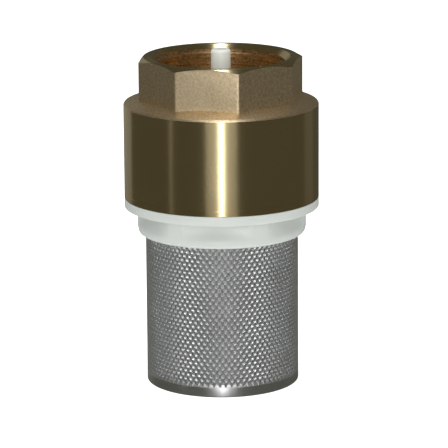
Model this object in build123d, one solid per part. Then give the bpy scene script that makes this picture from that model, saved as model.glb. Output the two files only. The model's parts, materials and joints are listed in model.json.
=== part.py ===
"""Foot valve: a spring-loaded check valve in a brass body, with a screwed-in suction strainer.

Millimetres. The origin is the centre of the strainer's base, +Z runs up the valve's axis to the
outlet port, and -Y is the front. Every piece is one solid, written to parts/NODE.step.
"""
from build123d import *
import os
from math import cos, pi, radians, tan

# Pipe thread G 1-1/2, ISO 228-1: 11 threads per inch
thread_pitch = 25.4 / 11
thread_major_r = 47.803 / 2
thread_depth = 1.479
thread_pitch_r = thread_major_r - thread_depth / 2
thread_minor_r = thread_major_r - thread_depth

# Heights above the strainer's base
collar_base_z = 54.6
collar_top_z = 56.2
flange_base_z = 64.2
joint_z = 67.5
shoulder_z = 101.65
rim_z = 118.2
stem_tip_z = 120.8

# Brass body
body_r = 34.8
shoulder_slope = 16.5
shoulder_round = 0.6
octagon_across_flats = 55.2
octagon_turn = 12.0
octagon_chamfer_angle = 30.0
port_mouth_r = 24.8
port_relief_r = 24.3
port_relief_z = 103.0
port_relief_height = 2.0
chamber_r = 31.0
chamber_roof_z = 98.5
chamber_roof_run = 4.0
socket_r = 32.0
socket_top_z = 77.5
edge_break = 0.25

# Stem guide, cast in one piece with the body
guide_r = 7.8
guide_base_z = 98.0
guide_top_z = 107.0
guide_bore_r = 3.55
guide_washer_r = 10.5
guide_washer_height = 1.4
arm_count = 3
arm_width = 4.2
arm_base_z = 99.5
arm_top_z = 102.9
arm_first_angle = 90.0

# Brass end ring, which carries the seat and the inlet thread
end_flange_height = 2.0
end_spigot_r = 31.97
end_spigot_top_z = 77.0
end_nose_r = 27.0
end_nose_top_z = 82.0
seat_web_base_z = 79.2
seat_z = 83.0
seat_bore_r = 19.0
seat_lip_r = 20.3
inlet_bore_r = thread_pitch_r + 0.03
ring_groove_r = 30.1
ring_groove_height = 2.1

# Body O-ring
o_ring_r = 31.05
o_ring_section_r = 0.89

# Poppet, its seal and the snap ring that holds the seal
stem_r = 3.5
stem_round = 0.7
plate_r = 24.0
plate_base_z = 85.0
plate_top_z = 88.0
plate_rim_base_z = 83.9
plate_rim_inner_r = 22.8
hub_r = 6.9
hub_top_z = 88.5
pocket_r = 10.3
pocket_floor_z = 83.0
pocket_floor_thickness = 2.0
skirt_r = 13.0
skirt_base_z = 79.6
bead_height = 0.8
bead_r = 13.5
seal_outer_r = 22.7
retainer_r = 18.2
retainer_base_r = 15.5
lift = guide_base_z - hub_top_z

# Spring
wire_d = 0.9
coil_r = 8.5
coil_turns = 4.5
spring_top_z = arm_base_z
spring_length = spring_top_z - pocket_floor_z

# Strainer adapter
adapter_flange_r = 34.8
collar_r = 30.0
hex_across_flats = 55.4
hex_corner_r = 30.2
hex_turn = -3.5
spigot_top_z = 78.5
spigot_r = thread_pitch_r - 0.02
waterway_r = 20.0
adapter_pocket_r = 24.0
adapter_pocket_z = 61.0
adapter_cone_z = 64.0
groove_clearance = 0.05
groove_depth = 1.5

# Strainer basket
sheet = 0.6
basket_r = 27.35
basket_lip_r = 25.0
basket_edge_round = 0.5
basket_top_z = collar_base_z + groove_depth - groove_clearance
base_disc_r = basket_r - sheet - 0.05


def turned(*points):
    """A solid turned about the valve's axis from an outline of (radius, height) points."""
    outline = Polyline(*points, close=True)
    return revolve(Plane.XZ * make_face(outline), Axis.Z)


def drum(radius, low_z, high_z):
    """A plain cylinder on the valve's axis between two heights."""
    upright = (Align.CENTER, Align.CENTER, Align.MIN)
    return Pos(0, 0, low_z) * Cylinder(radius, high_z - low_z, align=upright)


def prism(across_flats, sides, turn, low_z, high_z):
    """A regular prism on the valve's axis, with one corner at the angle turn from +X."""
    corner_r = across_flats / 2 / cos(pi / sides)
    face = RegularPolygon(corner_r, sides, rotation=turn)
    return Pos(0, 0, low_z) * extrude(face, high_z - low_z)


def edges_at(solid, height):
    """The edges of a solid that lie flat at one height."""
    return [e for e in solid.edges() if abs(e.bounding_box().min.Z - height) < 0.001
            and abs(e.bounding_box().max.Z - height) < 0.001]


def octagon_end():
    """The forged octagon of the outlet, its corners cut back by the turned chamfer of the rim."""
    flat_r = octagon_across_flats / 2
    reach = 4.0
    drop = reach * tan(radians(octagon_chamfer_angle))
    base_z = shoulder_z
    octagon = prism(octagon_across_flats, 8, octagon_turn, base_z, rim_z)
    cap = turned((0, base_z), (flat_r + reach, base_z), (flat_r + reach, rim_z - drop),
                 (flat_r, rim_z), (0, rim_z))
    return octagon & cap


def body_cavity():
    """The space inside the body, from its lower socket up through the chamber to the port's mouth."""
    mouth_depth = port_mouth_r - thread_minor_r
    relief_top_z = port_relief_z + port_relief_height
    low_z = joint_z
    return turned(
        (0, low_z), (socket_r, low_z), (socket_r, socket_top_z), (chamber_r, socket_top_z),
        (chamber_r, chamber_roof_z - chamber_roof_run),
        (chamber_r - chamber_roof_run, chamber_roof_z), (thread_minor_r, chamber_roof_z),
        (thread_minor_r, port_relief_z), (port_relief_r, port_relief_z),
        (port_relief_r, relief_top_z), (thread_minor_r, relief_top_z),
        (thread_minor_r, rim_z - mouth_depth), (port_mouth_r, rim_z), (0, rim_z))


def stem_guide():
    """The guide's boss, its spring washer face and the arms that carry it across the port."""
    guide = drum(guide_r, guide_base_z, guide_top_z)
    guide += drum(guide_washer_r, arm_base_z, arm_base_z + guide_washer_height)
    arm_reach = thread_minor_r + 1.0
    for index in range(arm_count):
        arm = Pos(arm_reach / 2, 0, (arm_base_z + arm_top_z) / 2) * Box(
            arm_reach, arm_width, arm_top_z - arm_base_z)
        guide += Rot(0, 0, arm_first_angle + index * 360 / arm_count) * arm
    return guide - drum(guide_bore_r, guide_base_z, guide_top_z)


def valve_body():
    """The brass housing: turned drum, sloped shoulder, forged octagon, core hole and stem guide."""
    base_z = joint_z + end_flange_height
    root_r = octagon_across_flats / 2 - edge_break
    root_z = shoulder_z + (body_r - root_r) * tan(radians(shoulder_slope))
    shell = turned((0, base_z), (body_r, base_z), (body_r, shoulder_z), (root_r, root_z), (0, root_z))
    shell = fillet(edges_at(shell, shoulder_z), shoulder_round)
    shell = chamfer(edges_at(shell, base_z), edge_break)
    return shell + octagon_end() - body_cavity() + stem_guide()


def end_ring():
    """The brass ring in the body's lower end: flange, inlet thread's core hole and raised seat."""
    flange_top_z = joint_z + end_flange_height
    groove_top_z = flange_top_z + ring_groove_height
    return turned(
        (inlet_bore_r, joint_z), (body_r - edge_break, joint_z), (body_r, joint_z + edge_break),
        (body_r, flange_top_z - edge_break), (body_r - edge_break, flange_top_z),
        (ring_groove_r, flange_top_z), (ring_groove_r, groove_top_z), (end_spigot_r, groove_top_z),
        (end_spigot_r, end_spigot_top_z), (end_nose_r, end_spigot_top_z),
        (end_nose_r, end_nose_top_z), (seat_lip_r, end_nose_top_z), (seat_lip_r, seat_z),
        (seat_bore_r, seat_z), (seat_bore_r, seat_web_base_z), (inlet_bore_r, seat_web_base_z))


def body_o_ring():
    """The O-ring between the body and the end ring."""
    middle_z = joint_z + end_flange_height + ring_groove_height / 2
    return Pos(0, 0, middle_z) * Torus(o_ring_r, o_ring_section_r)


def poppet():
    """The moulded closing plate with its stem, spring pocket and snap skirt."""
    web_z = pocket_floor_z - pocket_floor_thickness
    bead_top_z = skirt_base_z + bead_height
    return turned(
        (0, web_z), (pocket_r, web_z), (pocket_r, skirt_base_z), (skirt_r, skirt_base_z),
        (bead_r, skirt_base_z + bead_height / 2), (skirt_r, bead_top_z), (skirt_r, plate_base_z),
        (plate_rim_inner_r, plate_base_z), (plate_rim_inner_r, plate_rim_base_z),
        (plate_r, plate_rim_base_z), (plate_r, plate_top_z), (pocket_r, plate_top_z),
        (pocket_r, pocket_floor_z), (hub_r, pocket_floor_z), (hub_r, hub_top_z),
        (stem_r, hub_top_z), (stem_r, stem_tip_z - stem_round),
        (stem_r - stem_round, stem_tip_z), (0, stem_tip_z))


def disc_seal():
    """The flat rubber ring that closes on the seat."""
    return turned((skirt_r, seat_z), (seal_outer_r, seat_z), (seal_outer_r, plate_base_z),
                  (skirt_r, plate_base_z))


def seal_retainer():
    """The tapered ring that snaps over the poppet's bead and grips the seal."""
    base_z = skirt_base_z + bead_height
    return turned((skirt_r, base_z), (retainer_base_r, base_z), (retainer_r, seat_z),
                  (skirt_r, seat_z))


def lift_spring():
    """The compression spring between the poppet's pocket and the stem guide."""
    climb = spring_length - wire_d
    start_z = pocket_floor_z + wire_d / 2
    path = Pos(0, 0, start_z) * Helix(climb / coil_turns, climb, coil_r)
    wire = Plane(path @ 0, z_dir=path % 0) * Circle(wire_d / 2)
    return sweep(wire, path, is_frenet=True)


def strainer_adapter():
    """The moulded adapter: inlet thread's spigot, flange, hexagon and the collar that holds the basket."""
    hexagon = prism(hex_across_flats, 6, hex_turn, collar_base_z, flange_base_z)
    hexagon &= drum(hex_corner_r, collar_base_z, flange_base_z)
    shell = hexagon + drum(collar_r, collar_base_z, collar_top_z)
    shell += drum(adapter_flange_r, flange_base_z, joint_z)
    shell += drum(spigot_r, joint_z, spigot_top_z)
    shell -= turned(
        (0, collar_base_z), (adapter_pocket_r, collar_base_z), (adapter_pocket_r, adapter_pocket_z),
        (waterway_r, adapter_cone_z), (waterway_r, spigot_top_z), (0, spigot_top_z))
    groove_top_z = collar_base_z + groove_depth
    groove = drum(basket_r + groove_clearance, collar_base_z, groove_top_z)
    groove -= drum(basket_r - sheet - groove_clearance, collar_base_z, groove_top_z)
    return shell - groove


def strainer_basket():
    """The rolled sheet of the basket, with its lower edge turned in under the base disc."""
    basket = turned(
        (basket_lip_r, 0), (basket_r, 0), (basket_r, basket_top_z),
        (basket_r - sheet, basket_top_z), (basket_r - sheet, sheet), (basket_lip_r, sheet))
    outer_edge = [e for e in edges_at(basket, 0) if e.length > 2 * pi * basket_r - 1]
    return fillet(outer_edge, basket_edge_round)


def strainer_base():
    """The disc that closes the basket, lying on its turned-in edge."""
    return drum(base_disc_r, sheet, 2 * sheet)


def main():
    os.makedirs("parts", exist_ok=True)
    pieces = [valve_body, end_ring, body_o_ring, poppet, disc_seal, seal_retainer, lift_spring,
              strainer_adapter, strainer_basket, strainer_base]
    for piece in pieces:
        export_step(piece(), f"parts/{piece.__name__}.step")
    print(f"poppet lift {lift:.2f} mm, thread pitch {thread_pitch:.3f} mm")


if __name__ == "__main__":
    main()
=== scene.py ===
"""Foot valve: brass check valve, white nylon adapter and perforated suction strainer.

Laid out as an add-on: the panel in the 3D view's sidebar lists one operator for each piece or
group of like pieces, and the sizes and colours are properties of the scene. Lengths are metres,
and MM turns millimetres into metres. The valve stands on its strainer, its axis is +Z, and -Y is
its front.
"""
import json
from math import atan2, ceil, cos, hypot, pi, radians, sin, sqrt, tan

import bpy
from bpy.props import FloatProperty, FloatVectorProperty, IntProperty, PointerProperty
from bpy.types import Operator, Panel, PropertyGroup
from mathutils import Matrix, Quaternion, Vector

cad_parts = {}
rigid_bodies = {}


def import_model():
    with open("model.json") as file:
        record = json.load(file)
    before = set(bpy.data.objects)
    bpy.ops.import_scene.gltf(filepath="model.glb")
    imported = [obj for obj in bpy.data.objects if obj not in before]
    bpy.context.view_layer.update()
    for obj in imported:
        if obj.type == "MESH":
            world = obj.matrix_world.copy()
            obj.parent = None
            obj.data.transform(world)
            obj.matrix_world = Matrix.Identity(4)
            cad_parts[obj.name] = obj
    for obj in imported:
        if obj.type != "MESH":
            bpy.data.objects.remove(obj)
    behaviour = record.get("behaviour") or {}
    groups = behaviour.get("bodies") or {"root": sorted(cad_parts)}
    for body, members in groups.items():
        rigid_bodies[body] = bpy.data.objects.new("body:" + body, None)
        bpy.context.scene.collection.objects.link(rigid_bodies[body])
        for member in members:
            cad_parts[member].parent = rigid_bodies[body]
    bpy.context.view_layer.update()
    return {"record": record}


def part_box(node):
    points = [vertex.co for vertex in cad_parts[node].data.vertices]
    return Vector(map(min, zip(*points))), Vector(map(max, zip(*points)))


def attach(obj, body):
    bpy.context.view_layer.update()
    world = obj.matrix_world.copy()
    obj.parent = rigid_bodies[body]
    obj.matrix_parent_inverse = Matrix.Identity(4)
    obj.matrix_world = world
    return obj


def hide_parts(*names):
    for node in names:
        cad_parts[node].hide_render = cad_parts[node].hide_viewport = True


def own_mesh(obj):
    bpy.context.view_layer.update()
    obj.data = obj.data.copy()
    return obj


bl_info = {
    "name": "Foot Valve",
    "version": (1, 0, 0),
    "blender": (4, 5, 0),
    "location": "View3D > Sidebar > Foot Valve",
    "description": "Models a brass foot valve with its suction strainer",
    "category": "Object",
}

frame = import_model()

MM = 0.001
HAIR = 0.01 * MM          # lengths below this count as equal
ROUND = 192               # sides of a turned brass or plastic piece
ADAPTER_ROUND = 240       # sides of the adapter, the same for each of its six flats
HOLE_SIDES = 12           # sides of a punched hole
STAGE_MIDDLE_Z = 60 * MM  # the height that every light is turned to
FLOOR_SIDE = 8.0

# Soft lights: the property with the power, azimuth and elevation in degrees (azimuth 0 is the
# front and 90 the right), then distance, width and height in metres
LIGHTS = {
    "key_strip": ("key_power", 0, 15, 0.9, 0.036, 0.5),
    "front_card": ("front_power", 0, 15, 0.95, 0.6, 0.5),
    "overhead": ("top_power", 0, 84, 1.0, 0.15, 0.7),
    "left_rear_card": ("left_power", -148, 8, 0.9, 0.62, 0.7),
    "right_rear_card": ("right_power", 124, 8, 0.9, 0.36, 0.7),
    "left_front_strip": ("line_power", -60, 15, 0.9, 0.06, 0.6),
}


def low_z(node):
    """The height of a packed node's underside."""
    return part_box(node)[0].z


def high_z(node):
    """The height of a packed node's top."""
    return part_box(node)[1].z


def outer_r(node):
    """The radius of a packed node that is round about the axis."""
    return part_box(node)[1].x


def length(default, description):
    """A length property whose default is given in millimetres."""
    return FloatProperty(name=description, description=description, default=default * MM,
                         min=0.0, precision=5, unit="LENGTH")


def tint(default, description):
    """A colour property."""
    return FloatVectorProperty(name=description, description=description, default=default,
                               size=4, min=0.0, max=1.0, subtype="COLOR")


def degrees(default, description):
    """An angle property whose default is given in degrees."""
    return FloatProperty(name=description, description=description, default=radians(default),
                         precision=2, subtype="ANGLE")


def number(default, description, unit="NONE"):
    """A number property, plain or with one of Blender's units."""
    return FloatProperty(name=description, description=description, default=default,
                         precision=3, unit=unit)


def whole(default, description):
    """A whole number property."""
    return IntProperty(name=description, description=description, default=default, min=1)


# Sizes and colours

class FootValveThread(PropertyGroup):
    """Pipe thread G 1-1/2"""
    pitch: length(25.4 / 11, "Pitch")
    major_r: length(47.803 / 2, "Major radius")
    depth: length(1.479, "Thread depth")
    flank_angle: degrees(27.5, "Half the angle between the flanks")
    clearance: length(0.05, "Clearance between mating threads")
    overcut: length(0.3, "How far the cutter stands out of the wall it cuts")
    root_round: number(0.45, "Rounding of the root, as a part of its width")


class FootValveBody(PropertyGroup):
    """Brass body"""
    across_flats: length(55.2, "Octagon across flats")
    turn: degrees(12.0, "Angle of the octagon's first corner")
    corner_round: length(0.45, "Rounding of the octagon's corners")
    shoulder_z: length(101.65, "Height of the shoulder's outer edge")
    shoulder_slope: degrees(16.5, "Slope of the shoulder")
    shoulder_round: length(0.6, "Rounding of the shoulder's edge")
    turned_top_z: length(101.15, "Height where the turned drum ends")
    turned_step: length(0.12, "Step between the turned drum and the forging")
    rim_chamfer_angle: degrees(30.0, "Angle of the rim's outer chamfer")
    rim_chamfer_inset: length(0.15, "How far the chamfer cuts into the flats")
    mouth_r: length(24.8, "Radius of the port's mouth")
    relief_r: length(24.3, "Radius of the thread relief")
    relief_z: length(103.0, "Height of the thread relief")
    relief_height: length(2.0, "Height of the relief groove")
    relief_run: length(1.0, "Slope from the relief groove to the thread")
    chamber_r: length(31.0, "Radius of the chamber")
    chamber_roof_z: length(98.5, "Height of the chamber's roof")
    chamber_roof_run: length(4.0, "Slope at the chamber's roof")
    chamber_round: length(2.0, "Rounding of the slope's ends")
    socket_r: length(32.0, "Radius of the socket for the end ring")
    socket_top_z: length(77.5, "Top of the socket")
    edge_break: length(0.1, "Chamfer on turned edges")
    rim_land: length(0.5, "Width of the turned land round the mouth")
    rim_height: length(2.0, "Height over which the rim's top is turned")


class FootValveGuide(PropertyGroup):
    """Stem guide inside the body"""
    boss_r: length(7.8, "Radius of the boss")
    boss_base_z: length(98.0, "Underside of the boss")
    boss_top_z: length(107.0, "Top of the boss")
    bore_r: length(3.55, "Radius of the stem's bore")
    washer_r: length(10.5, "Radius of the spring's seat")
    washer_height: length(1.4, "Thickness of the spring's seat")
    arms: whole(3, "Number of arms")
    arm_width: length(4.2, "Width of an arm")
    arm_base_z: length(99.5, "Underside of the arms")
    arm_top_z: length(102.9, "Top of the arms")
    arm_round: length(0.7, "Rounding of the arms")
    edge_round: length(0.3, "Rounding of the boss's and the seat's edges")
    corner_round: length(0.2, "Rounding of the seat's lower edge")
    root_round: length(0.5, "Fillet between the seat and the boss")
    top_round: length(0.8, "Rounding of the boss's top")


class FootValveRing(PropertyGroup):
    """Brass end ring with the seat"""
    flange_height: length(2.0, "Height of the visible rim")
    spigot_top_z: length(77.0, "Top of the spigot")
    nose_r: length(27.0, "Radius of the nose")
    nose_top_z: length(82.0, "Top of the nose")
    web_base_z: length(79.2, "Underside of the seat's web")
    seat_bore_r: length(19.0, "Radius of the seat's bore")
    seat_lip_r: length(20.3, "Outer radius of the seat's lip")
    groove_r: length(30.1, "Radius of the O-ring's groove")
    groove_height: length(2.1, "Height of the O-ring's groove")
    spigot_gap: length(0.03, "Gap between the spigot and its socket")
    entry: length(1.2, "Chamfer at the inlet")
    lip_round: length(0.5, "Rounding of the nose and of the seat's bore")


class FootValveClosure(PropertyGroup):
    """Poppet, seal and retainer"""
    stem_r: length(3.5, "Radius of the stem")
    stem_round: length(1.0, "Rounding of the stem's tip")
    plate_base_z: length(85.0, "Underside of the plate")
    plate_top_z: length(88.0, "Top of the plate")
    rim_inner_r: length(22.8, "Inner radius of the plate's rim")
    rim_base_z: length(83.9, "Underside of the plate's rim")
    hub_r: length(6.9, "Radius of the hub")
    hub_top_z: length(88.45, "Top of the hub")
    pocket_r: length(10.3, "Radius of the spring pocket")
    pocket_floor_z: length(83.0, "Floor of the spring pocket")
    web_z: length(81.0, "Underside of the pocket's floor")
    skirt_r: length(13.0, "Radius of the skirt")
    bead_r: length(13.5, "Radius of the snap bead")
    bead_height: length(0.8, "Height of the snap bead")
    retainer_base_r: length(15.5, "Lower radius of the retainer")
    edge_round: length(0.3, "Rounding of moulded edges")
    seal_round: length(0.15, "Rounding of the flat seal's inner edges")
    flash: length(0.03, "Height of the parting line on the O-ring")


class FootValveSpring(PropertyGroup):
    """Lift spring"""
    wire_r: length(0.45, "Radius of the wire")
    coil_r: length(8.5, "Mean radius of the coils")
    coils: number(4.5, "Number of coils")
    dead_turns: number(0.75, "Closed turns at each end")


class FootValveAdapter(PropertyGroup):
    """Nylon adapter"""
    collar_r: length(30.0, "Radius of the collar")
    collar_top_z: length(56.2, "Top of the collar")
    collar_round: length(1.5, "Rounding of the collar's lower edge")
    scoop: length(5.9, "Height over which the flats run out into the collar")
    flange_base_z: length(64.2, "Underside of the flange")
    across_flats: length(55.3, "Hexagon across flats")
    turned_corner_r: length(30.2, "Radius of the turned corners")
    turn: degrees(-3.5, "Angle of the hexagon's first corner")
    flat_blend: length(0.16, "Softness between the flats and the corners")
    waterway_r: length(20.0, "Radius of the waterway")
    pocket_r: length(24.0, "Radius of the lower pocket")
    pocket_top_z: length(61.0, "Top of the lower pocket")
    cone_top_z: length(64.0, "Top of the cone")
    groove_depth: length(1.5, "Depth of the basket's groove")
    edge_round: length(0.45, "Rounding of moulded edges")
    fine_round: length(0.15, "Rounding of the flange's and the groove's edges")
    entry: length(1.2, "Chamfer at the spigot's end")
    relief_depth: length(0.2, "How far the relief lies below the thread")
    relief_height: length(1.1, "Height of the relief above the flange")
    relief_run: length(0.8, "Slope above the relief")
    thread_start: length(1.0, "Distance from the flange to the thread")


class FootValveBasket(PropertyGroup):
    """Perforated basket"""
    columns: whole(84, "Holes round the basket")
    rows: whole(34, "Rows of holes")
    row_step: length(1.489, "Distance between rows")
    first_row_z: length(5.07, "Height of the lowest row")
    hole_r: length(0.56, "Radius of a hole")
    dish: length(0.3, "How far the sheet sinks at a hole's edge")
    sheet: length(0.6, "Thickness of the sheet")
    lip_r: length(25.0, "Inner radius of the turned-in edge")
    edge_round: length(0.5, "Rounding of the lower edge")
    base_pitch: length(2.04, "Distance between holes in the base")
    base_margin: length(3.6, "Plain margin round the base's holes")


class FootValveFinish(PropertyGroup):
    """Colours of the finishes"""
    forged_brass: tint((0.94, 0.74, 0.49, 1), "Forged brass")
    turned_brass: tint((0.78, 0.64, 0.37, 1), "Turned brass")
    # Warmer than the turned brass: painted reflection of the port's walls on each other.
    threaded_brass: tint((0.84, 0.62, 0.37, 1), "Brass inside the port")
    nylon: tint((0.47, 0.495, 0.47, 1), "White nylon")
    acetal: tint((0.88, 0.9, 0.83, 1), "White acetal")
    rubber: tint((0.018, 0.018, 0.019, 1), "Black rubber")
    stainless: tint((0.7, 0.72, 0.73, 1), "Stainless sheet")
    wire: tint((0.66, 0.65, 0.63, 1), "Spring wire")


class FootValveStudio(PropertyGroup):
    """Camera, lights and floor"""
    camera_elevation: degrees(13.3, "Camera's angle above the horizon")
    camera_distance: length(1130, "Camera's distance from its aim")
    camera_aim_x: length(0.75, "Camera's aim, to the right")
    camera_aim_z: length(56.92, "Camera's aim, height")
    camera_lens: number(252.8, "Camera's focal length", unit="CAMERA")
    camera_roll: degrees(0.4, "Camera's turn about its own axis")
    key_power: number(2.1, "Power of the key strip", unit="POWER")
    front_power: number(1.2, "Power of the wide front card", unit="POWER")
    left_power: number(0.24, "Power of the left rear card", unit="POWER")
    right_power: number(0.04, "Power of the right rear card", unit="POWER")
    line_power: number(0.055, "Power of the left front strip", unit="POWER")
    top_power: number(2.6, "Power of the overhead light", unit="POWER")
    floor: tint((0.93, 0.93, 0.93, 1), "Floor")
    floor_glow: number(0.92, "How far the floor lights itself")
    room: tint((0.072, 0.068, 0.05, 1), "Surroundings as the metal mirrors them")
    haze: tint((0.5, 0.5, 0.5, 1), "Surroundings as they light matt pieces")
    backdrop: tint((1.0, 1.0, 1.0, 1), "Surroundings as seen behind the floor")


GROUPS = {
    "foot_valve_thread": FootValveThread,
    "foot_valve_body": FootValveBody,
    "foot_valve_guide": FootValveGuide,
    "foot_valve_ring": FootValveRing,
    "foot_valve_closure": FootValveClosure,
    "foot_valve_spring": FootValveSpring,
    "foot_valve_adapter": FootValveAdapter,
    "foot_valve_basket": FootValveBasket,
    "foot_valve_finish": FootValveFinish,
    "foot_valve_studio": FootValveStudio,
}


# Modelling helpers

def activate(piece):
    """Leaves edit mode and makes one object the only one selected."""
    if bpy.context.mode != "OBJECT":
        bpy.ops.object.mode_set(mode="OBJECT")
    bpy.ops.object.select_all(action="DESELECT")
    if piece is not None:
        piece.select_set(True)
        bpy.context.view_layer.objects.active = piece


def named(name):
    """Names the object just added, applies its placing and returns it."""
    piece = bpy.context.object
    piece.name = name
    piece.data.name = name
    bpy.ops.object.transform_apply(location=True, rotation=True, scale=True)
    return piece


def soften(points, steps=4):
    """An outline in which each (radius, height, rounding) corner has become an arc."""
    outline = []
    for index, point in enumerate(points):
        if len(point) == 2:
            outline.append(point)
            continue
        corner = Vector(point[:2])
        back = (Vector(points[index - 1][:2]) - corner).normalized()
        ahead = (Vector(points[(index + 1) % len(points)][:2]) - corner).normalized()
        half = back.angle(ahead) / 2
        centre = corner + (back + ahead).normalized() * point[2] / sin(half)
        start = corner + back * point[2] / tan(half) - centre
        end = corner + ahead * point[2] / tan(half) - centre
        for step in range(steps + 1):
            spoke = start.lerp(end, step / steps).normalized() * point[2]
            outline.append(tuple(centre + spoke))
    return outline


def follow(outline):
    """Draws the selected rim on through an outline of (radius, height), from its first point."""
    for (from_r, from_z), (to_r, to_z) in zip(outline, outline[1:]):
        rise, grow = to_z - from_z, to_r / from_r
        bpy.ops.mesh.extrude_edges_move(TRANSFORM_OT_translate={"value": (0, 0, rise)})
        bpy.ops.transform.resize(value=(grow, grow, 1), center_override=(0, 0, 0))


def turned(name, points, segments=ROUND):
    """A closed solid turned about the axis.

    The outline either starts and ends on the axis, or runs right round a ring's section.
    """
    outline = soften(points)
    meets_axis = outline[0][0] == 0
    if meets_axis:
        outline = outline[1:-1]
    activate(None)
    bpy.ops.mesh.primitive_circle_add(vertices=segments, radius=outline[0][0])
    piece = named(name)
    bpy.ops.object.mode_set(mode="EDIT")
    bpy.ops.mesh.select_all(action="SELECT")
    bpy.ops.transform.translate(value=(0, 0, outline[0][1]))
    follow(outline)
    if meets_axis:
        bpy.ops.mesh.select_all(action="SELECT")
        bpy.ops.mesh.fill_holes(sides=0)
    else:
        bpy.ops.mesh.select_mode(type="EDGE")
        bpy.ops.mesh.select_all(action="DESELECT")
        bpy.ops.mesh.select_non_manifold()
        bpy.ops.mesh.bridge_edge_loops()
    face_outwards()
    return piece


def face_outwards():
    """Turns every face of the edited shell outwards and leaves edit mode."""
    bpy.ops.mesh.select_all(action="SELECT")
    bpy.ops.mesh.normals_make_consistent(inside=False)
    bpy.ops.object.mode_set(mode="OBJECT")


def prism(name, sides, corner_r, base_z, top_z, turn):
    """A regular prism on the axis, with one corner at the angle turn from +X."""
    activate(None)
    bpy.ops.mesh.primitive_cylinder_add(
        vertices=sides, radius=corner_r, depth=top_z - base_z,
        location=(0, 0, (base_z + top_z) / 2), rotation=(0, 0, turn - pi / 2))
    return named(name)


def combine(piece, other, operation):
    """Joins, cuts or intersects a piece with another solid, which is used up."""
    activate(piece)
    change = piece.modifiers.new(operation, "BOOLEAN")
    change.operation = operation
    change.solver = "EXACT"
    change.object = other
    bpy.ops.object.modifier_apply(modifier=change.name)
    bpy.data.objects.remove(other, do_unlink=True)
    return piece


def select_where(piece, kind, test):
    """In edit mode, selects only the vertices, edges or faces of a piece that pass a test."""
    bpy.ops.object.mode_set(mode="EDIT")
    bpy.ops.mesh.select_mode(type={"vertices": "VERT", "edges": "EDGE", "polygons": "FACE"}[kind])
    bpy.ops.mesh.select_all(action="DESELECT")
    bpy.ops.object.mode_set(mode="OBJECT")
    for part in getattr(piece.data, kind):
        part.select = test(part)
    bpy.ops.object.mode_set(mode="EDIT")


def upright(piece):
    """A test for edges that stand parallel to the axis."""
    spots = piece.data.vertices

    def test(edge):
        span = spots[edge.vertices[0]].co - spots[edge.vertices[1]].co
        return hypot(span.x, span.y) < 0.01 * MM < abs(span.z)
    return test


def thread_cutter(thread, root_r, open_r, base_z, top_z, half_turn=False, ease=0.0):
    """A helical cutter with the pipe thread's flanks, from open_r in to the groove's root_r."""
    pitch = thread.pitch
    slope = tan(thread.flank_angle)
    depth = abs(root_r - open_r)
    root_width = pitch / 2 - thread.depth * slope + ease
    open_width = root_width + 2 * depth * slope
    start_z = base_z + (pitch / 2 if half_turn else 0)
    activate(None)
    bpy.ops.mesh.primitive_plane_add(size=1, rotation=(pi / 2, 0, 0))
    cutter = named("thread_cutter")
    bpy.ops.object.mode_set(mode="EDIT")
    bpy.ops.transform.resize(value=(depth, 1, open_width))
    bpy.ops.transform.translate(value=((root_r + open_r) / 2, 0, start_z))
    select_where(cutter, "vertices", lambda v: abs(v.co.x - root_r) < depth / 4)
    bpy.ops.transform.resize(value=(1, 1, root_width / open_width),
                             center_override=(root_r, 0, start_z))
    bpy.ops.mesh.bevel(offset=root_width * thread.root_round, segments=2, affect="VERTICES")
    bpy.ops.object.mode_set(mode="OBJECT")
    activate(cutter)
    sweep = cutter.modifiers.new("sweep", "SCREW")
    sweep.axis = "Z"
    sweep.angle = 2 * pi
    sweep.screw_offset = pitch
    sweep.iterations = ceil((top_z - base_z) / pitch)
    sweep.steps = ROUND // 2
    sweep.render_steps = ROUND // 2
    bpy.ops.object.modifier_apply(modifier=sweep.name)
    bpy.ops.object.mode_set(mode="EDIT")
    bpy.ops.mesh.select_all(action="SELECT")
    bpy.ops.mesh.fill_holes(sides=0)
    face_outwards()
    return cutter


def hand_over(piece, node, materials, sharp_angle=30.0):
    """Shades a finished piece, gives it its materials and puts it in a packed node's place."""
    activate(piece)
    bpy.ops.object.shade_smooth_by_angle(angle=radians(sharp_angle))
    for material in materials:
        piece.data.materials.append(material)
    record = frame["record"]
    body = next(b for b, nodes in record["behaviour"]["bodies"].items() if node in nodes)
    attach(piece, body)
    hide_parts(node)


# Materials

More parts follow.
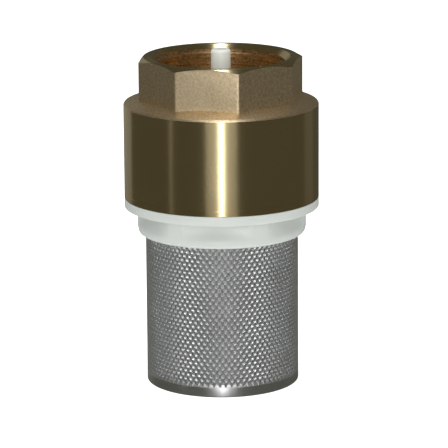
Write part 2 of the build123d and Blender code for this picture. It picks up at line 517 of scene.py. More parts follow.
class Recipe:
    """A material under construction, with its Principled shader and its nodes."""

    def __init__(self, name, color, **sockets):
        self.material = bpy.data.materials.new(name)
        self.material.use_nodes = True
        self.tree = self.material.node_tree
        self.shader = self.tree.nodes["Principled BSDF"]
        self.shader.inputs["Base Color"].default_value = color
        for socket, value in sockets.items():
            self.shader.inputs[socket.replace("_", " ")].default_value = value
        self.place = self.node("ShaderNodeTexCoord").outputs["Object"]

    def node(self, kind, links=(), **settings):
        """Adds a node; links maps its inputs to values or to other nodes' outputs."""
        made = self.tree.nodes.new(kind)
        for name, value in settings.items():
            setattr(made, name, value)
        for socket, value in dict(links).items():
            if isinstance(value, bpy.types.NodeSocket):
                self.tree.links.new(value, made.inputs[socket])
            else:
                made.inputs[socket].default_value = value
        return made

    def noise(self, scale, detail=2.0, stretch=(1, 1, 1)):
        """A noise value over the piece; a stretch above 1 packs the pattern closer that way."""
        spread = self.node("ShaderNodeMapping", {"Vector": self.place, "Scale": stretch})
        grain = self.node("ShaderNodeTexNoise", {
            "Vector": spread.outputs["Vector"], "Scale": scale, "Detail": detail})
        return grain.outputs["Fac"]

    def between(self, factor, low, high, start=0.3, stop=0.7):
        """Turns a 0 to 1 factor into a range of values."""
        return self.node("ShaderNodeMapRange", {
            "Value": factor, "From Min": start, "From Max": stop, "To Min": low, "To Max": high,
        }).outputs["Result"]

    def shades(self, factor, dark, light):
        """Mixes two shades by a factor."""
        ramp = self.node("ShaderNodeMix", {"Factor": factor}, data_type="RGBA")
        first, second = (socket for socket in ramp.inputs if socket.type == "RGBA")
        first.default_value, second.default_value = dark, light
        return next(socket for socket in ramp.outputs if socket.type == "RGBA")

    def feed(self, socket, output):
        """Links an output to one of the shader's inputs."""
        self.tree.links.new(output, self.shader.inputs[socket])

    def bump(self, layers):
        """Stacks (height, depth) bump layers, deepest pattern first."""
        normal = None
        for height, depth in layers:
            links = {"Height": height, "Distance": depth, "Strength": 1.0}
            if normal is not None:
                links["Normal"] = normal
            normal = self.node("ShaderNodeBump", links).outputs["Normal"]
        self.feed("Normal", normal)

    def round_lay(self, amount):
        """Marks turned or rolled round the axis: the shine spreads across them."""
        around = self.node("ShaderNodeTangent", direction_type="RADIAL", axis="Z")
        self.shader.inputs["Anisotropic"].default_value = amount
        self.shader.inputs["Anisotropic Rotation"].default_value = 0.25
        self.feed("Tangent", around.outputs["Tangent"])


def scaled(color, factor):
    """A colour made darker or lighter."""
    return tuple(min(1.0, c * factor) for c in color[:3]) + (1.0,)


def forged_brass(finish):
    """Shot-blasted forging: matte, finely pitted, with bright grains."""
    brass = Recipe("forged_brass", finish.forged_brass, Metallic=0.97)
    grain = brass.noise(1300, detail=3)
    patches = brass.noise(120, detail=2)
    brass.feed("Base Color", brass.shades(
        brass.between(grain, 0, 1),
        scaled(finish.forged_brass, 0.7), scaled(finish.forged_brass, 1.1)))
    brass.feed("Roughness", brass.between(grain, 0.42, 0.34))
    brass.bump([(patches, 0.06 * MM), (grain, 0.038 * MM)])
    return brass.material


def turned_brass(finish):
    """Lathe-turned brass: glossy, with fine marks round the axis."""
    brass = Recipe("turned_brass", finish.turned_brass, Metallic=1.0)
    marks = brass.noise(1.0, detail=3, stretch=(12, 12, 5200))
    stain = brass.noise(55, detail=3)
    brass.feed("Base Color", brass.shades(
        stain, scaled(finish.turned_brass, 0.94), scaled(finish.turned_brass, 1.05)))
    brass.feed("Roughness", brass.between(stain, 0.25, 0.28))
    brass.bump([(marks, 0.0035 * MM)])
    brass.round_lay(0.95)
    return brass.material


def threaded_brass(finish):
    """Cut brass inside the port: satin, with a warmer colour than the outside that is painted
    reflection of the brass walls lighting one another.
    """
    # Painted reflection: the warmer base colour stands in for the orange glints the port's brass
    # walls cast on each other.
    brass = Recipe("threaded_brass", finish.threaded_brass, Metallic=1.0)
    chatter = brass.noise(700, detail=2)
    brass.feed("Roughness", brass.between(chatter, 0.24, 0.33))
    brass.bump([(chatter, 0.006 * MM)])
    return brass.material


def moulded_plastic(name, color, roughness):
    """White moulded plastic, a little translucent, with a faint mould texture."""
    plastic = Recipe(name, color, Subsurface_Weight=0.2, Subsurface_Scale=0.0016, IOR=1.53)
    plastic.shader.inputs["Subsurface Radius"].default_value = (1.0, 0.95, 0.85)
    cloud = plastic.noise(140, detail=3)
    grain = plastic.noise(1900, detail=2)
    plastic.feed("Base Color", plastic.shades(cloud, scaled(color, 0.97), scaled(color, 1.02)))
    plastic.feed("Roughness", plastic.between(cloud, roughness, roughness + 0.08))
    plastic.bump([(grain, 0.012 * MM)])
    return plastic.material


def moulded_rubber(finish):
    """Black nitrile rubber."""
    rubber = Recipe("black_rubber", finish.rubber)
    grain = rubber.noise(1400, detail=3)
    rubber.feed("Roughness", rubber.between(grain, 0.48, 0.62))
    rubber.bump([(grain, 0.01 * MM)])
    return rubber.material


def stainless_sheet(name, finish, shine, roughness, lay):
    """Rolled stainless sheet with fine marks round the basket."""
    steel = Recipe(name, finish.stainless, Metallic=shine)
    marks = steel.noise(1.0, detail=2, stretch=(60, 60, 2600))
    smudge = steel.noise(90, detail=3)
    steel.feed("Base Color", steel.shades(
        smudge, scaled(finish.stainless, 0.92), scaled(finish.stainless, 1.05)))
    steel.feed("Roughness", steel.between(smudge, roughness, roughness + 0.05))
    steel.bump([(marks, 0.002 * MM)])
    steel.round_lay(lay)
    return steel.material


def drawn_wire(finish):
    """Drawn stainless spring wire."""
    wire = Recipe("drawn_wire", finish.wire, Metallic=1.0)
    marks = wire.noise(700, detail=2)
    wire.feed("Roughness", wire.between(marks, 0.22, 0.32))
    wire.bump([(marks, 0.004 * MM)])
    return wire.material


# Pieces

class FOOTVALVE_OT_body(Operator):
    """Model the brass body: turned drum, forged octagon, outlet thread and stem guide"""
    bl_idname = "foot_valve.body"
    bl_label = "Brass Body"

    def drum(self, size):
        """The drum below the shoulder, with its turned face and the forging's rounded edge."""
        base_z = low_z("valve_body")
        body_r = outer_r("valve_body")
        forged_r = body_r - size.turned_step
        root_r = size.across_flats / 2 - MM
        root_z = size.shoulder_z + (forged_r - root_r) * tan(size.shoulder_slope)
        return turned("brass_body", (
            (0, base_z), (body_r - size.edge_break, base_z), (body_r, base_z + size.edge_break),
            (body_r, size.turned_top_z), (forged_r, size.turned_top_z + size.turned_step / 2),
            (forged_r, size.shoulder_z, size.shoulder_round), (root_r, root_z), (0, root_z)))

    def octagon(self, size):
        """The octagon, with its corners rounded and cut by the rim's chamfer."""
        flat_r = size.across_flats / 2
        rim_z = high_z("valve_body")
        octagon = prism("octagon", 8, flat_r / cos(pi / 8), size.shoulder_z, rim_z, size.turn)
        select_where(octagon, "edges", upright(octagon))
        bpy.ops.mesh.bevel(offset=size.corner_round, segments=3, affect="EDGES")
        bpy.ops.object.mode_set(mode="OBJECT")
        cap_r = flat_r + 4 * MM
        chamfer_r = flat_r - size.rim_chamfer_inset
        fall = (cap_r - chamfer_r) * tan(size.rim_chamfer_angle)
        cap = turned("cap", (
            (0, low_z("valve_body")), (cap_r, low_z("valve_body")), (cap_r, rim_z - fall),
            (chamfer_r, rim_z), (0, rim_z)))
        return combine(octagon, cap, "INTERSECT")

    def cavity(self, size, core_r):
        """The space inside the body, from the end ring's socket to the port's mouth."""
        base_z = low_z("valve_body") - MM
        rim_z = high_z("valve_body")
        above = MM
        relief_top = size.relief_z + size.relief_height
        return turned("cavity", (
            (0, base_z), (size.socket_r, base_z), (size.socket_r, size.socket_top_z),
            (size.chamber_r, size.socket_top_z),
            (size.chamber_r, size.chamber_roof_z - size.chamber_roof_run, size.chamber_round),
            (size.chamber_r - size.chamber_roof_run, size.chamber_roof_z, size.chamber_round),
            (core_r, size.chamber_roof_z), (core_r, size.relief_z),
            (size.relief_r, size.relief_z), (size.relief_r, relief_top),
            (core_r, relief_top + size.relief_run),
            (core_r, rim_z - (size.mouth_r - core_r)), (size.mouth_r + above, rim_z + above),
            (0, rim_z + above)))

    def guide(self, guide, reach):
        """The boss for the stem, the spring's seat and the arms."""
        washer_top = guide.arm_base_z + guide.washer_height
        boss = turned("guide", (
            (guide.bore_r, guide.boss_base_z),
            (guide.boss_r, guide.boss_base_z, guide.edge_round),
            (guide.boss_r, guide.arm_base_z),
            (guide.washer_r, guide.arm_base_z, guide.corner_round),
            (guide.washer_r, washer_top, guide.edge_round),
            (guide.boss_r, washer_top, guide.root_round),
            (guide.boss_r, guide.boss_top_z, guide.top_round),
            (guide.bore_r, guide.boss_top_z, guide.edge_round)), segments=ROUND // 2)
        inner = (guide.bore_r + guide.boss_r) / 2
        height = guide.arm_top_z - guide.arm_base_z
        for index in range(guide.arms):
            activate(None)
            bpy.ops.mesh.primitive_cube_add(size=1, location=((inner + reach) / 2, 0, 0))
            bpy.context.object.scale = (reach - inner, guide.arm_width, height)
            arm = named("arm")
            bpy.ops.object.mode_set(mode="EDIT")
            bpy.ops.mesh.select_mode(type="EDGE")
            bpy.ops.mesh.select_all(action="SELECT")
            bpy.ops.mesh.bevel(offset=guide.arm_round, segments=3, affect="EDGES")
            bpy.ops.object.mode_set(mode="OBJECT")
            arm.location.z = (guide.arm_base_z + guide.arm_top_z) / 2
            arm.rotation_euler.z = pi / 2 + index * 2 * pi / guide.arms
            bpy.ops.object.transform_apply(location=True, rotation=True)
            combine(boss, arm, "UNION")
        return boss

    def share_out(self, body, size, core_r):
        """Leaves the octagon and shoulder forged, and gives the cut faces their own finish."""
        forged, lathed, threaded = range(3)
        inner_r = size.mouth_r + size.rim_land
        rim_base_z = high_z("valve_body") - size.rim_height
        for face in body.data.polygons:
            reach = hypot(face.center.x, face.center.y)
            above_drum = face.center.z > size.turned_top_z
            if face.normal.z > 0.5 and face.center.z > rim_base_z:
                face.material_index = lathed
            elif above_drum and reach > inner_r:
                face.material_index = forged
            elif above_drum and core_r / 2 < reach < inner_r:
                # The port's inside gets the warmer brass, which is painted reflection of its
                # walls.
                face.material_index = threaded
            else:
                face.material_index = lathed

    def execute(self, context):
        scene = context.scene
        size, thread = scene.foot_valve_body, scene.foot_valve_thread
        finish = scene.foot_valve_finish
        core_r = thread.major_r - thread.depth
        rim_z = high_z("valve_body")
        body = combine(self.drum(size), self.octagon(size), "UNION")
        combine(body, self.cavity(size, core_r), "DIFFERENCE")
        combine(body, self.guide(scene.foot_valve_guide, core_r + MM), "UNION")
        cutter = thread_cutter(thread, thread.major_r, core_r - thread.overcut,
                               size.relief_z + size.relief_height - MM, rim_z + MM)
        combine(body, cutter, "DIFFERENCE")
        hand_over(body, "valve_body",
                  [forged_brass(finish), turned_brass(finish), threaded_brass(finish)])
        self.share_out(body, size, core_r)
        return {"FINISHED"}


class FOOTVALVE_OT_end_ring(Operator):
    """Model the brass end ring: rim, inlet thread and raised seat"""
    bl_idname = "foot_valve.end_ring"
    bl_label = "Brass End Ring"

    def execute(self, context):
        scene = context.scene
        size, thread = scene.foot_valve_ring, scene.foot_valve_thread
        base_z, seat_z, rim_r = low_z("end_ring"), high_z("end_ring"), outer_r("end_ring")
        flange_top = base_z + size.flange_height
        groove_top = flange_top + size.groove_height
        spigot_r = scene.foot_valve_body.socket_r - size.spigot_gap
        core_r = thread.major_r - thread.depth + thread.clearance
        edge = scene.foot_valve_body.edge_break
        ring = turned("brass_end_ring", (
            (core_r + size.entry, base_z), (rim_r - edge, base_z), (rim_r, base_z + edge),
            (rim_r, flange_top - edge), (rim_r - edge, flange_top),
            (size.groove_r, flange_top), (size.groove_r, groove_top),
            (spigot_r, groove_top), (spigot_r, size.spigot_top_z - edge),
            (spigot_r - edge, size.spigot_top_z), (size.nose_r, size.spigot_top_z, edge),
            (size.nose_r, size.nose_top_z, size.lip_round),
            (size.seat_lip_r, size.nose_top_z, edge), (size.seat_lip_r, seat_z, edge),
            (size.seat_bore_r, seat_z, size.lip_round), (size.seat_bore_r, size.web_base_z, edge),
            (core_r, size.web_base_z, edge), (core_r, base_z + size.entry)))
        cutter = thread_cutter(thread, thread.major_r + thread.clearance, core_r - thread.overcut,
                               base_z - 2 * thread.pitch, base_z + 4 * thread.pitch)
        combine(ring, cutter, "DIFFERENCE")
        hand_over(ring, "end_ring", [turned_brass(scene.foot_valve_finish)])
        return {"FINISHED"}


class FOOTVALVE_OT_seals(Operator):
    """Model the O-ring of the body and the flat seal of the poppet"""
    bl_idname = "foot_valve.seals"
    bl_label = "Rubber Seals"

    def execute(self, context):
        scene = context.scene
        rubber = moulded_rubber(scene.foot_valve_finish)
        size = scene.foot_valve_closure
        low, high = low_z("body_o_ring"), high_z("body_o_ring")
        cord_r = (high - low) / 2
        middle_r = outer_r("body_o_ring") - cord_r
        half_turn = 12
        points = []
        for step in range(2 * half_turn):
            angle = step * pi / half_turn
            swell = cord_r - (0 if step % half_turn == 0 else size.flash)
            points.append((middle_r + swell * cos(angle), (low + high) / 2 + swell * sin(angle)))
        hand_over(turned("o_ring", points), "body_o_ring", [rubber], sharp_angle=50.0)
        inner_r, seal_r = size.skirt_r, outer_r("disc_seal")
        base_z, top_z = low_z("disc_seal"), high_z("disc_seal")
        seal = turned("flat_seal", (
            (inner_r, base_z, size.seal_round), (seal_r, base_z, size.edge_round),
            (seal_r, top_z, size.edge_round), (inner_r, top_z, size.seal_round)))
        hand_over(seal, "disc_seal", [rubber])
        return {"FINISHED"}


class FOOTVALVE_OT_poppet(Operator):
    """Model the poppet with its stem and the ring that holds its seal"""
    bl_idname = "foot_valve.poppet"
    bl_label = "Poppet and Retainer"

    def execute(self, context):
        scene = context.scene
        size = scene.foot_valve_closure
        acetal = moulded_plastic("white_acetal", scene.foot_valve_finish.acetal, 0.32)
        skirt_z, tip_z, plate_r = low_z("poppet"), high_z("poppet"), outer_r("poppet")
        bead_top = skirt_z + size.bead_height
        soft = size.edge_round
        poppet = turned("poppet_and_stem", (
            (0, size.web_z), (size.pocket_r, size.web_z, soft), (size.pocket_r, skirt_z, soft),
            (size.skirt_r, skirt_z), (size.bead_r, (skirt_z + bead_top) / 2),
            (size.skirt_r, bead_top), (size.skirt_r, size.plate_base_z),
            (size.rim_inner_r, size.plate_base_z), (size.rim_inner_r, size.rim_base_z),
            (plate_r, size.rim_base_z, soft), (plate_r, size.plate_top_z, 2 * soft),
            (size.pocket_r, size.plate_top_z, soft), (size.pocket_r, size.pocket_floor_z, soft),
            (size.hub_r, size.pocket_floor_z, soft), (size.hub_r, size.hub_top_z, soft),
            (size.stem_r, size.hub_top_z), (size.stem_r, tip_z, size.stem_round),
            (0, tip_z)))
        hand_over(poppet, "poppet", [acetal])
        seal_z, retainer_r = low_z("disc_seal"), outer_r("seal_retainer")
        retainer = turned("seal_retainer_ring", (
            (size.skirt_r, bead_top), (size.retainer_base_r, bead_top, soft),
            (retainer_r, seal_z - soft), (retainer_r, seal_z), (size.skirt_r, seal_z)))
        hand_over(retainer, "seal_retainer", [acetal])
        return {"FINISHED"}


class FOOTVALVE_OT_spring(Operator):
    """Model the lift spring, with closed end coils"""
    bl_idname = "foot_valve.spring"
    bl_label = "Lift Spring"

    def execute(self, context):
        scene = context.scene
        size = scene.foot_valve_spring
        foot_z = scene.foot_valve_closure.pocket_floor_z
        head_z = scene.foot_valve_guide.arm_base_z
        step_count = 32
        dead_rise = 2 * size.wire_r * size.dead_turns
        live_turns = size.coils - 2 * size.dead_turns
        live_rise = head_z - foot_z - 2 * size.wire_r - 2 * dead_rise
        points = []
        for step in range(int(size.coils * step_count) + 1):
            turns = step / step_count
            live = min(max(turns - size.dead_turns, 0.0), live_turns) / live_turns
            dead = turns - live * live_turns
            height = foot_z + size.wire_r + dead * 2 * size.wire_r + live * live_rise
            points.append((size.coil_r * cos(2 * pi * turns), size.coil_r * sin(2 * pi * turns),
                           height, 1.0))
        path = bpy.data.curves.new("lift_coil", "CURVE")
        path.dimensions = "3D"
        path.bevel_depth = size.wire_r
        path.bevel_resolution = 4
        path.use_fill_caps = True
        line = path.splines.new("POLY")
        line.points.add(len(points) - 1)
        for spot, place in zip(line.points, points):
            spot.co = place
        coil = bpy.data.objects.new("lift_coil", path)
        scene.collection.objects.link(coil)
        activate(coil)
        bpy.ops.object.convert(target="MESH")
        hand_over(coil, "lift_spring", [drawn_wire(scene.foot_valve_finish)], sharp_angle=40.0)
        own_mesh(coil)
        return {"FINISHED"}


class FOOTVALVE_OT_adapter(Operator):
    """Model the nylon adapter: flange, hexagon, collar and threaded spigot"""
    bl_idname = "foot_valve.adapter"
    bl_label = "Nylon Adapter"

    def press_flats(self, piece, size):
        """Presses the hexagon's flats into the turned wall, with soft edges beside them."""
        flat_r = size.across_flats / 2
        for spot in piece.data.vertices:
            reach = hypot(spot.co.x, spot.co.y)
            near_wall = size.collar_r < reach < size.turned_corner_r + size.edge_round + HAIR
            if not (near_wall and size.collar_top_z < spot.co.z < size.flange_base_z + HAIR):
                continue
            depth = min((spot.co.z - size.collar_top_z) / size.scoop, 1.0)
            depth *= depth * (3 - 2 * depth)
            angle = atan2(spot.co.y, spot.co.x) - size.turn - pi / 6
            off_middle = (angle + pi / 6) % (pi / 3) - pi / 6
            gap = size.turned_corner_r - flat_r / cos(off_middle)
            soft_gap = (gap + sqrt(gap * gap + size.flat_blend ** 2)) / 2
            spot.co.xy *= (reach - soft_gap * depth) / reach

    def execute(self, context):
        scene = context.scene
        size, thread = scene.foot_valve_adapter, scene.foot_valve_thread
        base_z, top_z = low_z("strainer_adapter"), high_z("strainer_adapter")
        flange_r, joint_z = outer_r("strainer_adapter"), low_z("end_ring")
        soft, fine = size.edge_round, size.fine_round
        major_r = thread.major_r - thread.clearance
        relief_r = major_r - thread.depth - size.relief_depth
        relief_top = joint_z + size.relief_height
        sheet_r = outer_r("strainer_basket")
        groove_gap = thread.clearance
        groove_out = sheet_r + groove_gap
        groove_in = sheet_r - scene.foot_valve_basket.sheet - groove_gap
        groove_z = base_z + size.groove_depth
        bands = 8
        adapter = turned("nylon_adapter", (
            (size.waterway_r, top_z, soft), (relief_r, top_z), (major_r, top_z - size.entry),
            (major_r, relief_top + size.relief_run), (relief_r, relief_top),
            (relief_r, joint_z, fine), (flange_r, joint_z, fine),
            (flange_r, size.flange_base_z, fine),
            (size.turned_corner_r, size.flange_base_z, soft),
            (size.turned_corner_r, size.flange_base_z - 2 * MM),
            *[(size.turned_corner_r, size.collar_top_z + size.scoop * step / bands)
              for step in range(bands, 0, -1)],
            (size.collar_r, size.collar_top_z), (size.collar_r, base_z, size.collar_round),
            (groove_out, base_z, fine), (groove_out, groove_z), (groove_in, groove_z),
            (groove_in, base_z, fine), (size.pocket_r, base_z, soft),
            (size.pocket_r, size.pocket_top_z, soft), (size.waterway_r, size.cone_top_z, soft)),
            segments=ADAPTER_ROUND)
        self.press_flats(adapter, size)
        cutter = thread_cutter(thread, major_r - thread.depth, major_r + thread.overcut,
                               joint_z - 2 * thread.pitch, top_z + thread.pitch,
                               half_turn=True, ease=2 * thread.clearance)
        start_z = joint_z + size.thread_start
        clear_r, clear_z = major_r + 2 * MM, top_z + 2 * MM
        threaded_stretch = turned("threaded_stretch", (
            (0, start_z), (clear_r, start_z), (clear_r, clear_z), (0, clear_z)))
        combine(cutter, threaded_stretch, "INTERSECT")
        combine(adapter, cutter, "DIFFERENCE")
        nylon = moulded_plastic("white_nylon", scene.foot_valve_finish.nylon, 0.42)
        hand_over(adapter, "strainer_adapter", [nylon])
        return {"FINISHED"}


class FOOTVALVE_OT_basket(Operator):
    """Model the perforated basket from one repeated cell of sheet, and its perforated base"""
    bl_idname = "foot_valve.basket"
    bl_label = "Strainer Basket"

    def cell(self, size, pitch):
        """One hole with its six-sided share of sheet, upright, with its outside towards -Y."""
        side = size.row_step / 2 - pitch ** 2 / (8 * size.row_step)
        peak = size.row_step - side
        activate(None)
        bpy.ops.mesh.primitive_circle_add(vertices=HOLE_SIDES, radius=size.hole_r)
        cell = named("basket_wall")
        bpy.ops.object.mode_set(mode="EDIT")
        bpy.ops.mesh.select_all(action="SELECT")
        bpy.ops.transform.translate(value=(0, 0, -size.dish))
        bpy.ops.mesh.extrude_edges_move(
            TRANSFORM_OT_translate={"value": (0, 0, size.dish - size.sheet)})
        for depth in (0.0, -size.sheet):
            bpy.ops.mesh.select_all(action="DESELECT")
            bpy.ops.mesh.primitive_circle_add(vertices=6, radius=peak, location=(0, 0, depth))
            bpy.ops.object.mode_set(mode="OBJECT")
            for spot in cell.data.vertices:
                if spot.select and abs(spot.co.x) > size.hole_r:
                    spot.co.x = pitch / 2 if spot.co.x > 0 else -pitch / 2
                    spot.co.y = side if spot.co.y > 0 else -side
            bpy.ops.object.mode_set(mode="EDIT")
        for low, high in ((-size.dish * 1.5, MM), (-MM, -size.sheet * 0.9)):
            select_where(cell, "vertices", lambda spot: low < spot.co.z < high)
            bpy.ops.mesh.bridge_edge_loops()
        bpy.ops.object.mode_set(mode="OBJECT")
        cell.rotation_euler.x = pi / 2
        bpy.ops.object.transform_apply(rotation=True)
        return cell

    def repeat(self, piece, count, step):
        """Repeats a piece along a straight line."""
        activate(piece)
        row = piece.modifiers.new("repeat", "ARRAY")
        row.count = count
        row.use_relative_offset = False
        row.use_constant_offset = True
        row.constant_offset_displace = step
        bpy.ops.object.modifier_apply(modifier=row.name)

    def roll(self, wall, size, basket_r):
        """Rolls the flat sheet into a tube and welds its cells.

        The sheet is half a column longer than the tube is round, because every second row of
        cells is shifted by half a column.
        """
        bend = wall.modifiers.new("roll", "SIMPLE_DEFORM")
        bend.deform_method = "BEND"
        bend.deform_axis = "Z"
        bend.angle = 2 * pi * (size.columns + 0.5) / size.columns
        bpy.ops.object.modifier_apply(modifier=bend.name)
        wall.location.y = -basket_r
        bpy.ops.object.transform_apply(location=True)
        bpy.ops.object.mode_set(mode="EDIT")
        bpy.ops.mesh.select_all(action="SELECT")
        bpy.ops.mesh.remove_doubles(threshold=HAIR)
        bpy.ops.object.mode_set(mode="OBJECT")

    def select_rim(self, wall, test):
        """In edit mode, selects the vertices of the tube's open rims that pass a test."""
        activate(wall)
        bpy.ops.object.mode_set(mode="EDIT")
        bpy.ops.mesh.select_mode(type="VERT")
        bpy.ops.mesh.select_all(action="DESELECT")
        bpy.ops.mesh.select_non_manifold(use_wire=False, use_multi_face=False,
                                         use_non_contiguous=False, use_verts=False)
        bpy.ops.object.mode_set(mode="OBJECT")
        keep = [spot.select and test(spot.co) for spot in wall.data.vertices]
        bpy.ops.object.mode_set(mode="EDIT")
        bpy.ops.mesh.select_all(action="DESELECT")
        bpy.ops.object.mode_set(mode="OBJECT")
        wall.data.vertices.foreach_set("select", keep)
        bpy.ops.object.mode_set(mode="EDIT")

    def turn_in(self, wall, size, basket_r, plain_z):
        """Draws the plain lower edge of the wall down and in to its lip."""
        bend, bend_steps = size.edge_round, 5
        path = [(basket_r, bend)]
        for step in range(1, bend_steps + 1):
            angle = step / bend_steps * pi / 2
            path.append((basket_r - bend * (1 - cos(angle)), bend * (1 - sin(angle))))
        path += [(size.lip_r, 0), (size.lip_r, size.sheet), (basket_r - size.sheet, size.sheet)]
        middle_r = basket_r - size.sheet / 2
        self.select_rim(
            wall, lambda spot: spot.z < 2 * plain_z and hypot(spot.x, spot.y) > middle_r)
        follow([(basket_r, plain_z), *path])

    def wall(self, size, basket_r):
        """The rolled wall with its turned-in lower edge."""
        pitch = 2 * pi * basket_r / size.columns
        wall = self.cell(size, pitch)
        wall.location.z = size.first_row_z
        bpy.ops.object.transform_apply(location=True)
        self.repeat(wall, 2, (pitch / 2, 0, size.row_step))
        self.repeat(wall, size.rows // 2, (0, 0, 2 * size.row_step))
        wall.location.x = -(size.columns // 2) * pitch
        bpy.ops.object.transform_apply(location=True)
        self.repeat(wall, size.columns, (pitch, 0, 0))
        self.roll(wall, size, basket_r)
        plain_z = size.first_row_z - size.row_step
        for level, lower in ((plain_z, True), (high_z("strainer_basket"), False)):
            self.select_rim(wall, lambda spot: (spot.z < 2 * plain_z) == lower)
            bpy.ops.transform.resize(value=(1, 1, 0), center_override=(0, 0, level))
        self.turn_in(wall, size, basket_r, plain_z)
        for lower in (True, False):
            self.select_rim(wall, lambda spot: (spot.z < 2 * plain_z) == lower)
            bpy.ops.mesh.bridge_edge_loops()
        face_outwards()
        return wall

    def base(self, size):
        """The base disc with its staggered holes."""
        low, high = low_z("strainer_base"), high_z("strainer_base")
        disc_r = outer_r("strainer_base")
        fine = 0.08 * MM
        disc = turned("basket_base", (
            (0, low), (disc_r - fine, low), (disc_r, low + fine), (disc_r, high - fine),
            (disc_r - fine, high), (0, high)), segments=ROUND // 2)
        field_r = disc_r - size.base_margin
        columns = int(field_r / size.base_pitch)
        rows = 2 * int(field_r / size.row_step / 2) + 1
        activate(None)
        bpy.ops.mesh.primitive_cylinder_add(
            vertices=HOLE_SIDES, radius=size.hole_r, depth=size.sheet * 2,
            location=(-columns * size.base_pitch, -(rows - 1) * size.row_step, (low + high) / 2))
        punch = named("punch")
        self.repeat(punch, 2, (size.base_pitch / 2, size.row_step, 0))
        self.repeat(punch, rows, (0, 2 * size.row_step, 0))
        self.repeat(punch, 2 * columns + 1, (size.base_pitch, 0, 0))
        select_where(punch, "vertices", lambda spot: hypot(spot.co.x, spot.co.y) > field_r)
        bpy.ops.mesh.select_linked()
        bpy.ops.mesh.delete(type="VERT")
        bpy.ops.object.mode_set(mode="OBJECT")
        return combine(disc, punch, "DIFFERENCE")

    def execute(self, context):
        scene = context.scene
        size = scene.foot_valve_basket
        pressed = stainless_sheet("perforated_stainless", scene.foot_valve_finish, 0.93, 0.44, 0.1)
        plain = stainless_sheet("plain_stainless", scene.foot_valve_finish, 0.97, 0.34, 0.8)
        wall = self.wall(size, outer_r("strainer_basket"))
        hand_over(wall, "strainer_basket", [pressed, plain], sharp_angle=50.0)
        plain_z = size.first_row_z - size.row_step
        for face in wall.data.polygons:
            face.material_index = 1 if face.center.z < plain_z else 0
        hand_over(self.base(size), "strainer_base", [plain])
        return {"FINISHED"}


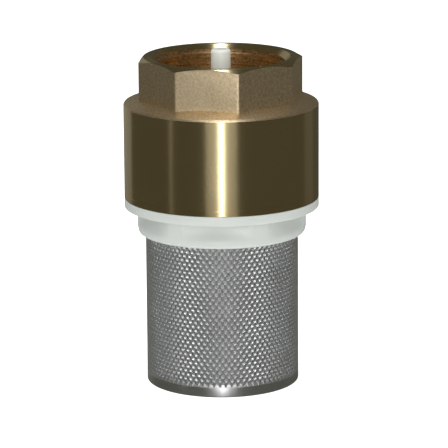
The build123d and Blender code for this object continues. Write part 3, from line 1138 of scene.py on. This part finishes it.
class FOOTVALVE_OT_stage(Operator):
    """Set the floor, the lights and the camera"""
    bl_idname = "foot_valve.stage"
    bl_label = "Studio"

    def card(self, name, power, azimuth, elevation, distance, width, height):
        """A soft rectangular light that faces the valve and stays out of the camera's sight."""
        turn, rise = radians(azimuth), radians(elevation)
        middle = Vector((0, 0, STAGE_MIDDLE_Z))
        back = Vector((sin(turn) * cos(rise), -cos(turn) * cos(rise), sin(rise)))
        lamp = bpy.data.lights.new(name, "AREA")
        lamp.shape = "RECTANGLE"
        lamp.size, lamp.size_y, lamp.energy = width, height, power
        light = bpy.data.objects.new(name, lamp)
        light.location = middle + back * distance
        light.rotation_euler = (-back).to_track_quat("-Z", "Y").to_euler()
        light.visible_camera = False
        bpy.context.scene.collection.objects.link(light)

    def floor(self, look):
        """A pale floor with a fine grain, wide enough for every view."""
        activate(None)
        bpy.ops.mesh.primitive_plane_add(size=FLOOR_SIDE)
        floor = named("studio_floor")
        bpy.ops.object.mode_set(mode="EDIT")
        bpy.ops.mesh.subdivide(number_cuts=8)
        bpy.ops.object.mode_set(mode="OBJECT")
        paper = Recipe("studio_paper", look.floor, Roughness=0.9)
        fibres = paper.noise(300, detail=3)
        paper.feed("Base Color", paper.shades(fibres, scaled(look.floor, 0.99), look.floor))
        paper.shader.inputs["Emission Color"].default_value = look.floor
        paper.shader.inputs["Emission Strength"].default_value = look.floor_glow
        floor.data.materials.append(paper.material)
        floor.visible_glossy = False

    def surroundings(self, look):
        """Pale behind the floor, soft on matt pieces and dim where the metal mirrors it."""
        world = bpy.data.worlds.new("studio")
        bpy.context.scene.world = world
        world.use_nodes = True
        tree = world.node_tree
        path = tree.nodes.new("ShaderNodeLightPath")
        room = tree.nodes["Background"]
        room.inputs["Color"].default_value = look.room
        seen = room.outputs["Background"]
        for ray, color in (("Is Diffuse Ray", look.haze), ("Is Camera Ray", look.backdrop)):
            glow = tree.nodes.new("ShaderNodeBackground")
            glow.inputs["Color"].default_value = color
            either = tree.nodes.new("ShaderNodeMixShader")
            tree.links.new(path.outputs[ray], either.inputs["Fac"])
            tree.links.new(seen, either.inputs[1])
            tree.links.new(glow.outputs["Background"], either.inputs[2])
            seen = either.outputs["Shader"]
        tree.links.new(seen, tree.nodes["World Output"].inputs["Surface"])

    def camera(self, look):
        """A long lens in front of the valve, a little above it."""
        lens = bpy.data.cameras.new("camera")
        lens.lens = look.camera_lens
        lens.clip_start, lens.clip_end = 0.01, 20.0
        camera = bpy.data.objects.new("camera", lens)
        rise = look.camera_elevation
        back = Vector((0, -cos(rise), sin(rise)))
        aim = Vector((look.camera_aim_x, 0, look.camera_aim_z))
        camera.location = aim + back * look.camera_distance
        level = (-back).to_track_quat("-Z", "Y")
        roll = Quaternion((0, 0, 1), -look.camera_roll)
        camera.rotation_euler = (level @ roll).to_euler()
        bpy.context.scene.collection.objects.link(camera)
        return camera

    def execute(self, context):
        look = context.scene.foot_valve_studio
        self.floor(look)
        self.surroundings(look)
        for name, (power, *placing) in LIGHTS.items():
            self.card(name, getattr(look, power), *placing)
        context.scene.camera = self.camera(look)
        context.scene.view_settings.view_transform = "Standard"
        return {"FINISHED"}


PIECES = (FOOTVALVE_OT_body, FOOTVALVE_OT_end_ring, FOOTVALVE_OT_seals, FOOTVALVE_OT_poppet,
          FOOTVALVE_OT_spring, FOOTVALVE_OT_adapter, FOOTVALVE_OT_basket, FOOTVALVE_OT_stage)


class FOOTVALVE_PT_panel(Panel):
    """Lists the pieces in the order in which they are made"""
    bl_idname = "FOOTVALVE_PT_panel"
    bl_label = "Foot Valve"
    bl_space_type = "VIEW_3D"
    bl_region_type = "UI"
    bl_category = "Foot Valve"

    def draw(self, context):
        for piece in PIECES:
            self.layout.operator(piece.bl_idname)
        for name, group in GROUPS.items():
            box = self.layout.box()
            box.label(text=group.__doc__)
            for setting in group.__annotations__:
                box.prop(getattr(context.scene, name), setting)


CLASSES = (*GROUPS.values(), *PIECES, FOOTVALVE_PT_panel)


def register():
    for kind in CLASSES:
        bpy.utils.register_class(kind)
    for name, group in GROUPS.items():
        setattr(bpy.types.Scene, name, PointerProperty(type=group))


def unregister():
    for name in GROUPS:
        delattr(bpy.types.Scene, name)
    for kind in reversed(CLASSES):
        bpy.utils.unregister_class(kind)


def main():
    """Makes every piece and the stage."""
    register()
    for piece in PIECES:
        module, name = piece.bl_idname.split(".")
        getattr(getattr(bpy.ops, module), name)()


if __name__ == "__main__":
    main()
